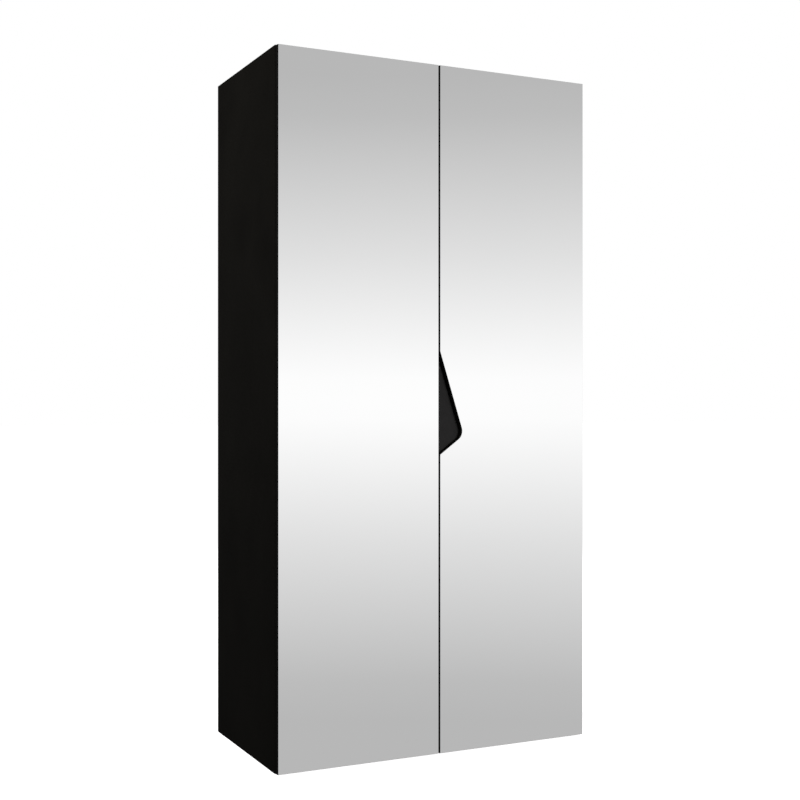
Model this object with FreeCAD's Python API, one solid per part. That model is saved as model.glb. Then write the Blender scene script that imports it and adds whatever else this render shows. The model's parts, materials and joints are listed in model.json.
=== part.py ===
import FreeCAD, Part
import math
import os

# Two-door wardrobe: black board carcass, two overlay doors faced with mirror
# glass, a cut-out finger grip in the right-hand door.
# Millimetres, +Z up, the doors face -Y.
# Origin: middle of the footprint, on the floor.

V = FreeCAD.Vector
os.makedirs("parts", exist_ok=True)

# ---- overall sizes -------------------------------------------------------
WIDTH = 999.0
HEIGHT = 2013.0
DEPTH = 536.0

# ---- boards, sheets, bands -----------------------------------------------
BOARD = 16.0
BACK_SHEET = 3.0
BAND = 0.8
GLIDE_HEIGHT = 3.0
PLINTH_HEIGHT = 60.0
PLINTH_SETBACK = 24.0
PARTITION_CLEAR = 11.5
SHELF_SETBACK = 76.0
SHELF_PLAY = 1.0
BACK_JOINT_GAP = 1.0

# ---- doors ---------------------------------------------------------------
DOOR_BOARD = 16.0
TAPE = 1.0
GLASS = 3.0
DOOR_GAP = 2.0
CENTRE_GAP = 4.2
SIDE_REVEAL = 0.5
TOP_REVEAL = 2.8
BOTTOM_REVEAL = 1.8
GLASS_INSET = 0.7

# ---- finger grip: height of its point, slopes as run over rise -----------
GRIP_POINT_X = 80.0
GRIP_POINT_Z = 932.5
GRIP_UPPER_SLOPE = 0.319
GRIP_LOWER_SLOPE = 1.38
GRIP_ROUND = 30.0
GRIP_UNDERCUT = 12.0
GRIP_DEPTH = 28.0
GRIP_WALL = 2.5
GRIP_FLANGE = 14.0
GRIP_FLANGE_THICK = 1.6

# ---- hardware ------------------------------------------------------------
CAM_R = 7.5
CAM_HEIGHT = 12.0
CAM_FROM_END = 24.0
CAM_SLOT = 3.6
BOLT_R = 3.0
BOLT_SCREW = 10.0
DOWEL_R = 4.0
DOWEL_HALF = 14.0
DOWEL_IN_FACE = 10.0
PIN_R = 2.5
PIN_IN = 7.0
PIN_OUT = 8.0
PITCH = 32.0
SHELF_COUNT = 5
RAIL_TALL = 30.0
RAIL_THICK = 15.0
RAIL_WALL = 1.2
RAIL_PLAY = 0.3
RAIL_DROP = 60.0
SCREW_R = 1.75
SCREW_HEAD_R = 3.5
RUN_FIT = 0.05

# ---- concealed hinge: sizes measured in from the door's outer edge (s)
# ---- and forward of the front edge of the side panel (f) -----------------
HINGE_FROM_END = 125.0
CUP_S = 22.5
CUP_R = 17.5
CUP_WALL = 1.0
CUP_DEPTH = 11.5
CUP_BORE_PLAY = 0.1
CUP_FLANGE = 1.0
CUP_SCREW_S = 32.0
CUP_SCREW_PITCH = 45.0
ARM_AXIS = (23.0, 3.7)
CUP_AXIS = (10.0, 5.0)
ELBOW = (14.5, 8.3)
HINGE_PIN_R = 1.25
EYE_R = 2.5
LINK_THICK = 2.4
LINK_HALF = 5.0
LUG_NEAR = 7.2
LUG_FAR = 10.6
ARM_GAP = 0.3
ARM_CHEEK = 1.5
PLATE_LINE = 37.0
PLATE_THICK = 2.5
PLATE_SCREW = 14.0
CUP_SCREW = 13.0

# ---- derived -------------------------------------------------------------
HALF = WIDTH / 2
INNER = HALF - BOARD
BACK_Y = DEPTH / 2
REAR = BACK_Y - BACK_SHEET
DOOR_THICK = DOOR_BOARD + TAPE + GLASS
FRONT = DOOR_GAP + DOOR_THICK - BACK_Y
FLOOR_Z = GLIDE_HEIGHT + PLINTH_HEIGHT + BOARD
CEILING_Z = HEIGHT - BOARD
PARTITION_HALF = BOARD / 2
GRIP_BEHIND = GRIP_DEPTH + GRIP_WALL - DOOR_GAP - DOOR_THICK
PARTITION_FRONT = FRONT + GRIP_BEHIND + PARTITION_CLEAR
SHELF_FRONT = FRONT + SHELF_SETBACK
DOOR_BACK = FRONT - DOOR_GAP
DOOR_OUTER = HALF - SIDE_REVEAL
DOOR_INNER = CENTRE_GAP / 2
DOOR_LOW = GLIDE_HEIGHT + BOTTOM_REVEAL
DOOR_HIGH = HEIGHT - TOP_REVEAL
SHELF_STEP = PITCH * round((CEILING_Z - FLOOR_Z) / (SHELF_COUNT + 1) / PITCH)
HAT_SHELF_Z = FLOOR_Z + SHELF_STEP * SHELF_COUNT
RAIL_Z = HAT_SHELF_Z - RAIL_DROP
RAIL_Y = (SHELF_FRONT + REAR) / 2
PIN_ROWS = [SHELF_FRONT + 40.0, REAR - 60.0]
JOINT_ROWS = [FRONT + 60.0, REAR - 60.0]
DOWEL_SHIFT = 45.0
HINGE_HEIGHTS = [DOOR_LOW + HINGE_FROM_END, FLOOR_Z + 1.5 * SHELF_STEP + BOARD / 2,
                 FLOOR_Z + 3.5 * SHELF_STEP + BOARD / 2, DOOR_HIGH - HINGE_FROM_END]


# ---- helpers -------------------------------------------------------------
def box(x0, x1, y0, y1, z0, z1):
    return Part.makeBox(x1 - x0, y1 - y0, z1 - z0, V(x0, y0, z0))


def rod(radius, start, direction, length):
    return Part.makeCylinder(radius, length, V(*start), V(*direction))


def cut(shape, tools):
    return shape.cut(tools) if tools else shape


def mirrored(shape):
    return shape.mirror(V(0, 0, 0), V(1, 0, 0))


def save(name, solids):
    flat = [s for item in solids for s in item.Solids]
    shape = flat[0] if len(flat) == 1 else Part.makeCompound(flat)
    shape.exportStep("parts/" + name + ".step")


def polygon(points):
    closed = points + points[:1]
    return Part.Face(Part.makePolygon([V(*p) for p in closed]))


def screw(start, direction, length, head=1.8):
    # Countersunk wood screw, head flush at start, with a cross recess.
    d = V(*direction)
    d.normalize()
    base = V(*start)
    body = Part.makeCylinder(SCREW_R, length, base, d)
    cone = Part.makeCone(SCREW_HEAD_R, SCREW_R, head, base, d)
    side = V(0, 0, 1) if abs(d.z) < 0.5 else V(1, 0, 0)
    other = d.cross(side)
    recess = None
    for along, across in [(side, other), (other, side)]:
        corner = base - along * 2.0 - across * 0.4
        ends = [corner, corner + along * 4.0]
        ends += [ends[1] + across * 0.8, corner + across * 0.8]
        bar = polygon([tuple(p) for p in ends]).extrude(d * 1.0)
        recess = bar if recess is None else recess.fuse(bar)
    return body.fuse(cone).cut(recess)


def screw_hole(start, direction, length, head=1.8):
    body = rod(SCREW_R, start, direction, length)
    cone = Part.makeCone(SCREW_HEAD_R, SCREW_R, head, V(*start), V(*direction))
    return body.fuse(cone)


def stadium(tall, thick, x0, x1, y, z):
    # Upright oval bar along X.
    r = thick / 2
    half = tall / 2 - r
    core = box(x0, x1, y - r, y + r, z - half, z + half)
    ends = [rod(r, (x0, y, z + k * half), (1, 0, 0), x1 - x0) for k in (-1, 1)]
    return core.fuse(ends).removeSplitter()


# ---- carcass joints: cams, bolts, dowels ---------------------------------
def panel_end_joints():
    # Ends of the top and bottom panels against the two sides.
    housings = []
    bolts = []
    caps = []
    dowels = []
    for low, under in [(CEILING_Z, CEILING_Z), (FLOOR_Z - BOARD, FLOOR_Z - BOARD)]:
        mid = low + BOARD / 2
        for side in (-1, 1):
            for y in JOINT_ROWS:
                cx = side * (INNER - CAM_FROM_END)
                body = rod(CAM_R, (cx, y, under + 1.0), (0, 0, 1), CAM_HEIGHT)
                slot = rod(CAM_SLOT, (cx, y, mid), (side, 0, 0), CAM_R + 1)
                drive = box(cx - 3.5, cx + 3.5, y - 0.6, y + 0.6, under + 1.0, under + 3.0)
                housings.append(body.cut([slot, drive]))
                caps.append(rod(CAM_R, (cx, y, under), (0, 0, 1), 0.9))
                stem = rod(BOLT_R, (cx + side * 2.0, y, mid), (side, 0, 0),
                           CAM_FROM_END + BOLT_SCREW - 2.0)
                bolts.append(stem)
                start = (side * (INNER - DOWEL_HALF), y + DOWEL_SHIFT, mid)
                dowels.append(rod(DOWEL_R, start, (side, 0, 0), DOWEL_HALF + DOWEL_IN_FACE))
    return housings, bolts, caps, dowels


def partition_joints():
    # Top and bottom edges of the centre partition, cams in its left face.
    housings = []
    bolts = []
    caps = []
    dowels = []
    face = -PARTITION_HALF
    for up, edge in [(1, CEILING_Z), (-1, FLOOR_Z)]:
        cz = edge - up * CAM_FROM_END
        for y in JOINT_ROWS:
            body = rod(CAM_R, (face + 1.0, y, cz), (1, 0, 0), CAM_HEIGHT)
            slot = rod(CAM_SLOT, (0, y, cz), (0, 0, up), CAM_R + 1)
            drive = box(face + 1.0, face + 3.0, y - 3.5, y + 3.5, cz - 0.6, cz + 0.6)
            housings.append(body.cut([slot, drive]))
            caps.append(rod(CAM_R, (face, y, cz), (1, 0, 0), 0.9))
            bolts.append(rod(BOLT_R, (0, y, cz + up * 2.0), (0, 0, up),
                             CAM_FROM_END + BOLT_SCREW - 2.0))
            start = (0, y + DOWEL_SHIFT, edge - up * DOWEL_HALF)
            dowels.append(rod(DOWEL_R, start, (0, 0, up), DOWEL_HALF + DOWEL_IN_FACE))
    return housings, bolts, caps, dowels


def joint_pockets(housings_at, bolts, dowels):
    # Round bores for the cams; the bolts and dowels are their own bores.
    pockets = [rod(CAM_R, start, direction, CAM_HEIGHT + 1.0)
               for start, direction in housings_at]
    return pockets + bolts + dowels


def plinth_dowels():
    dowels = []
    z = GLIDE_HEIGHT + PLINTH_HEIGHT / 2
    for y0 in (FRONT + PLINTH_SETBACK, REAR - PLINTH_SETBACK - BOARD):
        for side in (-1, 1):
            for dz in (-16.0, 16.0):
                start = (side * (INNER - DOWEL_HALF), y0 + BOARD / 2, z + dz)
                dowels.append(rod(DOWEL_R, start, (side, 0, 0), DOWEL_HALF + DOWEL_IN_FACE))
    return dowels


# ---- shelf pins ----------------------------------------------------------
def shelf_heights():
    return [FLOOR_Z + SHELF_STEP * (i + 1) for i in range(SHELF_COUNT)]


def pin_at(x, side, y, z):
    # Pin pressed into a face at x; side is the way out of the board.
    centre = z - PIN_R
    stem = rod(PIN_R, (x - side * PIN_IN, y, centre), (side, 0, 0), PIN_IN + PIN_OUT)
    collar = rod(PIN_R + 1.0, (x, y, centre), (side, 0, 0), 0.8)
    trim = box(x - 20, x + 20, y - 10, y + 10, z, z + 10)
    return stem.fuse(collar).cut(trim)


def pin_faces():
    left = [(-INNER, 1), (-PARTITION_HALF, -1)]
    right = [(PARTITION_HALF, 1), (INNER, -1)]
    return left, right


def shelf_pins():
    left, right = pin_faces()
    pins = []
    for z in shelf_heights():
        for x, side in left:
            pins += [pin_at(x, side, y, z) for y in PIN_ROWS]
    for x, side in right:
        pins += [pin_at(x, side, y, HAT_SHELF_Z) for y in PIN_ROWS]
    return pins


def pin_holes(x, side, heights, spare):
    # Bores for the pins with spare bores one pitch up and down.
    steps = [-1, 0, 1] if spare else [0]
    return [rod(PIN_R, (x - side * PIN_IN, y, z - PIN_R + k * PITCH), (side, 0, 0), PIN_IN)
            for z in heights for y in PIN_ROWS for k in steps]


# ---- clothes rail --------------------------------------------------------
def rail_parts():
    x0 = PARTITION_HALF
    x1 = INNER
    outer = stadium(RAIL_TALL, RAIL_THICK, x0 + 2.5, x1 - 2.5, RAIL_Y, RAIL_Z)
    bore = stadium(RAIL_TALL - 2 * RAIL_WALL, RAIL_THICK - 2 * RAIL_WALL,
                   x0 + 2.5, x1 - 2.5, RAIL_Y, RAIL_Z)
    rail = outer.cut(bore)
    sockets = []
    screws = []
    for x, side in [(x0, 1), (x1, -1)]:
        a, b = sorted([x, x + side * 2.2])
        plate = stadium(62.0, 24.0, a, b, RAIL_Y, RAIL_Z)
        a, b = sorted([x, x + side * 12.0])
        collar = stadium(RAIL_TALL + 5.0, RAIL_THICK + 5.0, a, b, RAIL_Y, RAIL_Z)
        a, b = sorted([x + side * 2.2, x + side * 13.0])
        hollow = stadium(RAIL_TALL + 2 * RAIL_PLAY, RAIL_THICK + 2 * RAIL_PLAY,
                         a, b, RAIL_Y, RAIL_Z)
        socket = plate.fuse(collar).cut(hollow)
        for k in (-1, 1):
            start = (x + side * 2.2, RAIL_Y, RAIL_Z + k * 24.0)
            socket = socket.cut(screw_hole(start, (-side, 0, 0), 15.0))
            screws.append(screw(start, (-side, 0, 0), 9.0 + 2.2))
        sockets.append(socket)
    return rail, sockets, screws


def rail_screw_holes(x, side):
    return [rod(SCREW_R, (x, RAIL_Y, RAIL_Z + k * 24.0), (-side, 0, 0), 9.0) for k in (-1, 1)]


# ---- carcass feet, back nails, wall brackets -----------------------------
def glide_places():
    sides = [(s * (HALF - BOARD / 2), y) for s in (-1, 1) for y in (FRONT + 40.0, REAR - 40.0)]
    rails = [(0.0, FRONT + PLINTH_SETBACK + BOARD / 2)]
    rails += [(0.0, REAR - PLINTH_SETBACK - BOARD / 2)]
    return sides, rails


def glide(x, y):
    disc = rod(6.5, (x, y, 0), (0, 0, 1), GLIDE_HEIGHT)
    disc = disc.makeFillet(0.8, [e for e in disc.Edges if e.BoundBox.ZMax < 0.1])
    return disc.fuse(rod(1.2, (x, y, GLIDE_HEIGHT), (0, 0, 1), 14.0))


def glide_hole(x, y):
    return rod(1.2, (x, y, GLIDE_HEIGHT), (0, 0, 1), 14.0)


def nail_places():
    places = []
    lowest = FLOOR_Z + 60.0
    step = (CEILING_Z - 60.0 - lowest) / 7
    for n in range(8):
        for x in (-HALF + BOARD / 2, -4.0, 4.0, HALF - BOARD / 2):
            places.append((x, lowest + n * step))
    for z in (CEILING_Z + BOARD / 2, FLOOR_Z - BOARD / 2):
        for n in (1, 2, 3):
            x = INNER * n / 4
            places += [(-x, z), (x, z)]
    return places


def nail(x, z, play=0.0):
    head = rod(2.0, (x, BACK_Y, z), (0, -1, 0), 0.7)
    return head.fuse(rod(0.8, (x, BACK_Y, z), (0, -1, 0), 18.0 + play))


BRACKET_X = [-WIDTH / 4, WIDTH / 4]
BRACKET_LEG = 32.0
BRACKET_WIDE = 24.0
BRACKET_THICK = 2.0
WALL_HOLE_R = 3.0


def wall_bracket(x):
    x0 = x - BRACKET_WIDE / 2
    x1 = x + BRACKET_WIDE / 2
    top = box(x0, x1, REAR - BRACKET_LEG, REAR, CEILING_Z - BRACKET_THICK, CEILING_Z)
    drop = box(x0, x1, REAR - BRACKET_THICK, REAR, CEILING_Z - BRACKET_LEG, CEILING_Z)
    shape = top.fuse(drop).removeSplitter()
    tools = [rod(WALL_HOLE_R, (x, REAR - 5, CEILING_Z - 18.0), (0, 1, 0), 10.0)]
    tools += [screw_hole((x + k, REAR - 20.0, CEILING_Z - BRACKET_THICK), (0, 0, 1), 4.0)
              for k in (-6.0, 6.0)]
    return shape.cut(tools)


def bracket_screws(x):
    return [screw((x + k, REAR - 20.0, CEILING_Z - BRACKET_THICK), (0, 0, 1), 13.0)
            for k in (-6.0, 6.0)]


# ---- carcass panels ------------------------------------------------------
def side_panel(side, tools):
    a, b = sorted([side * INNER, side * HALF])
    body = box(a, b, FRONT + BAND, REAR, GLIDE_HEIGHT, HEIGHT)
    return cut(body, tools)


def front_band(x0, x1, front, z0, z1):
    return box(x0, x1, front, front + BAND, z0, z1)


def shelf(x0, x1, z, tools):
    body = box(x0 + SHELF_PLAY, x1 - SHELF_PLAY, SHELF_FRONT + BAND, REAR - 1.0, z, z + BOARD)
    return cut(body, tools)


# ---- finger grip outline -------------------------------------------------
def grip_face(grow, y):
    # Wedge-shaped opening with a rounded point, grown outwards by grow.
    far = -60.0
    up = V(-1.0, 0, 1.0 / GRIP_UPPER_SLOPE)
    down = V(-1.0, 0, -1.0 / GRIP_LOWER_SLOPE)
    up.normalize()
    down.normalize()
    point = V(GRIP_POINT_X, y, GRIP_POINT_Z)
    bisector = up + down
    bisector.normalize()
    half_angle = up.getAngle(bisector)
    reach = GRIP_ROUND / math.tan(half_angle)
    centre = point + bisector * (GRIP_ROUND / math.sin(half_angle))
    t1 = point + up * reach
    t2 = point + down * reach
    middle = centre - bisector * GRIP_ROUND
    top = point + up * ((GRIP_POINT_X - far) / -up.x)
    low = point + down * ((GRIP_POINT_X - far) / -down.x)
    edges = [Part.makeLine(top, t1), Part.Arc(t1, middle, t2).toShape()]
    edges += [Part.makeLine(t2, low), Part.makeLine(low, top)]
    face = Part.Face(Part.Wire(edges))
    return face.makeOffset2D(grow) if grow else face


def grip_block(grow, y0, y1):
    # The grown outline between two depths, ending at the door's inner edge.
    body = grip_face(grow, y0).extrude(V(0, y1 - y0, 0))
    keep = box(DOOR_INNER, HALF, y0 - 1, y1 + 1, GLIDE_HEIGHT, HEIGHT)
    return body.common(keep)


def grip_screw_places():
    # Middle of the flange, outside the undercut.
    out = GRIP_UNDERCUT + GRIP_WALL + (GRIP_FLANGE - GRIP_WALL) / 2
    up = V(-1.0, 0, 1.0 / GRIP_UPPER_SLOPE)
    down = V(-1.0, 0, -1.0 / GRIP_LOWER_SLOPE)
    up.normalize()
    down.normalize()
    point = V(GRIP_POINT_X, 0, GRIP_POINT_Z)
    up_out = V(up.z, 0, -up.x)
    down_out = V(-down.z, 0, down.x)
    places = [point + up * k + up_out * out for k in (70.0, 140.0, 215.0)]
    places += [point + down * k + down_out * out for k in (50.0, 95.0)]
    return [(p.x, p.z) for p in places]


# ---- door leaves ---------------------------------------------------------
def door_slab(inset, y0, y1, grip):
    slab = box(DOOR_INNER + inset, DOOR_OUTER - inset, y0, y1, DOOR_LOW + inset, DOOR_HIGH - inset)
    if grip:
        opening = grip_face(inset, y0 - 1).extrude(V(0, y1 - y0 + 2, 0))
        slab = slab.cut(opening)
    return slab


def door_leaf(grip, tools):
    board_front = DOOR_BACK - DOOR_BOARD
    whole = door_slab(0.0, board_front, DOOR_BACK, grip)
    core = door_slab(BAND, board_front, DOOR_BACK, grip)
    band = whole.cut(core)
    glass_back = board_front - TAPE
    glass = door_slab(GLASS_INSET, glass_back - GLASS, glass_back, grip)
    tapes = []
    for x in (DOOR_INNER + 100.0, (DOOR_INNER + DOOR_OUTER) / 2, DOOR_OUTER - 40.0):
        tapes.append(box(x - 12.5, x + 12.5, glass_back, board_front,
                         DOOR_LOW + 15.0, DOOR_HIGH - 15.0))
    return cut(core, tools), band, glass, tapes


def bumper_places():
    return [(DOOR_INNER + 60.0, HEIGHT - BOARD / 2 - 1.0), (DOOR_INNER + 60.0, FLOOR_Z - BOARD / 2)]


# ---- finger grip shell ---------------------------------------------------
def grip_shell():
    floor_front = DOOR_BACK - DOOR_THICK + GRIP_DEPTH
    floor_back = floor_front + GRIP_WALL
    outer = GRIP_UNDERCUT + GRIP_WALL
    body = grip_block(outer, DOOR_BACK, floor_back)
    flange = grip_block(outer + GRIP_FLANGE, DOOR_BACK, DOOR_BACK + GRIP_FLANGE_THICK)
    hollow = grip_block(GRIP_UNDERCUT, DOOR_BACK - 1, floor_front)
    shell = body.fuse(flange).cut(hollow)
    holes = [screw_hole((x, DOOR_BACK + GRIP_FLANGE_THICK, z), (0, -1, 0), 3.0, 1.4)
             for x, z in grip_screw_places()]
    return shell.cut(holes)


# ---- concealed hinge, right-hand side ------------------------------------
def at(s, f, z=0.0):
    return V(DOOR_OUTER - s, FRONT - f, z)


def flat(points, z0, z1):
    face = polygon([tuple(at(s, f, z0)) for s, f in points])
    return face.extrude(V(0, 0, z1 - z0))


def pin(axis, radius, z0, z1):
    return Part.makeCylinder(radius, z1 - z0, at(axis[0], axis[1], z0), V(0, 0, 1))


def strip(a, b, thick, z0, z1):
    # Flat bar of even thickness between two points.
    length = math.hypot(b[0] - a[0], b[1] - a[1])
    ns = -(b[1] - a[1]) / length * thick / 2
    nf = (b[0] - a[0]) / length * thick / 2
    points = [(a[0] + ns, a[1] + nf), (b[0] + ns, b[1] + nf)]
    points += [(b[0] - ns, b[1] - nf), (a[0] - ns, a[1] - nf)]
    return flat(points, z0, z1)


def hinge_cup(z):
    mouth = DOOR_GAP
    start = at(CUP_S, mouth, z)
    ahead = V(0, -1, 0)
    cup = Part.makeCylinder(CUP_R, CUP_DEPTH, start, ahead)
    ring = Part.makeCylinder(CUP_R + 2.0, CUP_FLANGE, start, V(0, 1, 0))
    wing = flat([(CUP_S, mouth - CUP_FLANGE), (CUP_SCREW_S + 6.0, mouth - CUP_FLANGE),
                 (CUP_SCREW_S + 6.0, mouth), (CUP_S, mouth)],
                z - CUP_SCREW_PITCH / 2 - 7.0, z + CUP_SCREW_PITCH / 2 + 7.0)
    hollow = Part.makeCylinder(CUP_R - CUP_WALL, CUP_DEPTH - CUP_WALL + 5,
                               at(CUP_S, mouth - 5, z), ahead)
    lugs = [pin(CUP_AXIS, EYE_R, z + a, z + b).common(cup)
            for a, b in [(-LUG_FAR, -LUG_NEAR), (LUG_NEAR, LUG_FAR)]]
    body = cup.fuse([ring, wing]).cut(hollow).fuse(lugs).removeSplitter()
    holes = [screw_hole(place, (0, -1, 0), 3.0, CUP_FLANGE)
             for place in cup_screw_places(z)]
    return body.cut(holes + [cup_pin(z)])


def cup_screw_places(z):
    half = CUP_SCREW_PITCH / 2
    places = [at(CUP_SCREW_S, DOOR_GAP - CUP_FLANGE, z + k * half) for k in (-1, 1)]
    return [tuple(p) for p in places]


def cup_screws(z):
    return [screw(place, (0, -1, 0), CUP_SCREW, CUP_FLANGE) for place in cup_screw_places(z)]


def cup_bores(z):
    bore = Part.makeCylinder(CUP_R + CUP_BORE_PLAY, CUP_DEPTH + 0.5, at(CUP_S, DOOR_GAP, z),
                             V(0, -1, 0))
    holes = [rod(SCREW_R, (p[0], DOOR_BACK, p[2]), (0, -1, 0), CUP_SCREW - CUP_FLANGE)
             for p in cup_screw_places(z)]
    return [bore] + holes


def hinge_link(z):
    z0 = z - LINK_HALF
    z1 = z + LINK_HALF
    parts = [pin(ARM_AXIS, EYE_R, z0, z1), pin(CUP_AXIS, EYE_R, z0, z1)]
    parts += [pin(ELBOW, LINK_THICK / 2, z0, z1)]
    parts += [strip(ARM_AXIS, ELBOW, LINK_THICK, z0, z1)]
    body = strip(ELBOW, CUP_AXIS, LINK_THICK, z0, z1).fuse(parts)
    bores = [pin(axis, HINGE_PIN_R + RUN_FIT, z0, z1) for axis in (ARM_AXIS, CUP_AXIS)]
    return body.removeSplitter().cut(bores)


def hinge_arm(z):
    inner = LINK_HALF + ARM_GAP
    outer = inner + ARM_CHEEK
    s, f = ARM_AXIS
    near = BOARD - SIDE_REVEAL + PLATE_THICK + 1.0
    profile = [(s - 2.8, f - 1.1), (s - 2.8, f - 18.0), (near, f - 26.0), (near, -60.0)]
    profile += [(26.8, -60.0), (26.8, -6.0), (s + 2.8, f - 1.1)]
    cheeks = []
    for a, b in [(z - outer, z - inner), (z + inner, z + outer)]:
        cheeks.append(flat(profile, a, b).fuse(pin(ARM_AXIS, EYE_R + 0.5, a, b)))
    web = flat([(25.6, -60.0), (26.8, -60.0), (26.8, -6.0), (25.6, -6.0)], z - outer, z + outer)
    body = cheeks[0].fuse([cheeks[1], web]).removeSplitter()
    hole = rod(2.0, tuple(at(30.0, -48.0, z)), (1, 0, 0), 8.0)
    return body.cut([pin(ARM_AXIS, HINGE_PIN_R, z - outer, z + outer), hole])


def arm_pin(z):
    outer = LINK_HALF + ARM_GAP + ARM_CHEEK
    return pin(ARM_AXIS, HINGE_PIN_R, z - outer, z + outer)


def cup_pin(z):
    return pin(CUP_AXIS, HINGE_PIN_R, z - LUG_FAR, z + LUG_FAR)


def hinge_plate(z):
    face = BOARD - SIDE_REVEAL
    top = face + PLATE_THICK
    base = flat([(face, -18.0), (top, -18.0), (top, -60.0), (face, -60.0)], z - 9.0, z + 9.0)
    wings = flat([(face, -PLATE_LINE + 9.0), (top, -PLATE_LINE + 9.0),
                  (top, -PLATE_LINE - 9.0), (face, -PLATE_LINE - 9.0)],
                 z - 25.0, z + 25.0)
    rib = flat([(face, -22.0), (25.4, -22.0), (25.4, -58.0), (face, -58.0)],
               z - LINK_HALF, z + LINK_HALF)
    body = base.fuse([wings, rib]).removeSplitter()
    holes = [screw_hole(place, (1, 0, 0), 4.0) for place in plate_screw_places(z)]
    holes.append(rod(1.5, tuple(at(26.0, -48.0, z)), (1, 0, 0), 9.0))
    return body.cut(holes)


def plate_screw_places(z):
    s = BOARD - SIDE_REVEAL + PLATE_THICK
    return [tuple(at(s, -PLATE_LINE, z + k * 16.0)) for k in (-1, 1)]


def plate_screws(z):
    return [screw(place, (1, 0, 0), PLATE_SCREW) for place in plate_screw_places(z)]


def plate_holes(z):
    return [rod(SCREW_R, (INNER, p[1], p[2]), (1, 0, 0), PLATE_SCREW - PLATE_THICK)
            for p in plate_screw_places(z)]


def arm_screw(z):
    # Fixing screw that clamps the arm on the plate.
    head = rod(3.2, tuple(at(28.6, -48.0, z)), (1, 0, 0), 1.8)
    stem = rod(1.5, tuple(at(28.6, -48.0, z)), (1, 0, 0), 11.0)
    slot = box(head.BoundBox.XMin - 1, head.BoundBox.XMin + 0.8,
               FRONT + 48.0 - 0.4, FRONT + 48.0 + 0.4, z - 5, z + 5)
    return head.fuse(stem).cut(slot)


# ---- build ---------------------------------------------------------------
end_cams, end_bolts, end_caps, end_dowels = panel_end_joints()
mid_cams, mid_bolts, mid_caps, mid_dowels = partition_joints()
low_dowels = plinth_dowels()

end_places = [((s * (INNER - CAM_FROM_END), y, z), (0, 0, 1))
              for s in (-1, 1) for y in JOINT_ROWS for z in (CEILING_Z, FLOOR_Z - BOARD)]
mid_places = [((-PARTITION_HALF, y, z), (1, 0, 0))
              for y in JOINT_ROWS for z in (CEILING_Z - CAM_FROM_END, FLOOR_Z + CAM_FROM_END)]

left_pins, right_pins = pin_faces()
side_glides, rail_glides = glide_places()
nails = [nail(x, z) for x, z in nail_places()]
heights = shelf_heights()
rail, sockets, socket_screws = rail_parts()

hinge_holes = [hole for z in HINGE_HEIGHTS for hole in plate_holes(z)]
side_tools = end_bolts + end_dowels + low_dowels + nails
side_tools += [glide_hole(x, y) for x, y in side_glides]

left_tools = side_tools + pin_holes(-INNER, 1, heights, True)
left_tools += [mirrored(hole) for hole in hinge_holes]
save("left_side_panel", [side_panel(-1, left_tools)])

right_tools = side_tools + pin_holes(INNER, -1, [HAT_SHELF_Z], True)
right_tools += hinge_holes + rail_screw_holes(INNER, -1)
save("right_side_panel", [side_panel(1, right_tools)])

panel_tools = joint_pockets(end_places, end_bolts, end_dowels + mid_bolts + mid_dowels) + nails
bracket_holes = [rod(SCREW_R, (x + k, REAR - 20.0, CEILING_Z), (0, 0, 1), 11.0)
                 for x in BRACKET_X for k in (-6.0, 6.0)]
top = box(-INNER, INNER, FRONT + BAND, REAR, CEILING_Z, HEIGHT)
save("top_panel", [cut(top, panel_tools + bracket_holes)])
bottom = box(-INNER, INNER, FRONT + BAND, REAR, FLOOR_Z - BOARD, FLOOR_Z)
save("bottom_panel", [cut(bottom, panel_tools)])

partition = box(-PARTITION_HALF, PARTITION_HALF, PARTITION_FRONT + BAND, REAR, FLOOR_Z, CEILING_Z)
partition_tools = joint_pockets(mid_places, mid_bolts, mid_dowels) + nails
partition_tools += pin_holes(-PARTITION_HALF, -1, heights, True)
partition_tools += pin_holes(PARTITION_HALF, 1, [HAT_SHELF_Z], False)
partition_tools += rail_screw_holes(PARTITION_HALF, 1)
save("centre_partition", [cut(partition, partition_tools)])

rail_holes = [glide_hole(x, y) for x, y in rail_glides]
for name, y0 in [("front_plinth", FRONT + PLINTH_SETBACK),
                 ("rear_plinth", REAR - PLINTH_SETBACK - BOARD)]:
    body = box(-INNER, INNER, y0, y0 + BOARD, GLIDE_HEIGHT, GLIDE_HEIGHT + PLINTH_HEIGHT)
    save(name, [cut(body, low_dowels + rail_holes)])

wall_holes = [rod(WALL_HOLE_R, (x, REAR - 1, CEILING_Z - 18.0), (0, 1, 0), BACK_SHEET + 2)
              for x in BRACKET_X]
back_low = GLIDE_HEIGHT + PLINTH_HEIGHT - 4.0
left_back = box(-HALF + 1.0, -BACK_JOINT_GAP / 2, REAR, BACK_Y, back_low, HEIGHT - 1.0)
right_back = box(BACK_JOINT_GAP / 2, HALF - 1.0, REAR, BACK_Y, back_low, HEIGHT - 1.0)
save("left_back_panel", [cut(left_back, nails + wall_holes)])
save("right_back_panel", [cut(right_back, nails + wall_holes)])
save("back_nails", nails)

for i, z in enumerate(heights):
    save("shelf_" + str(i + 1), [shelf(-INNER, -PARTITION_HALF, z, [])])
save("hat_shelf", [shelf(PARTITION_HALF, INNER, HAT_SHELF_Z, [])])
save("shelf_pins", shelf_pins())

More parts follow.
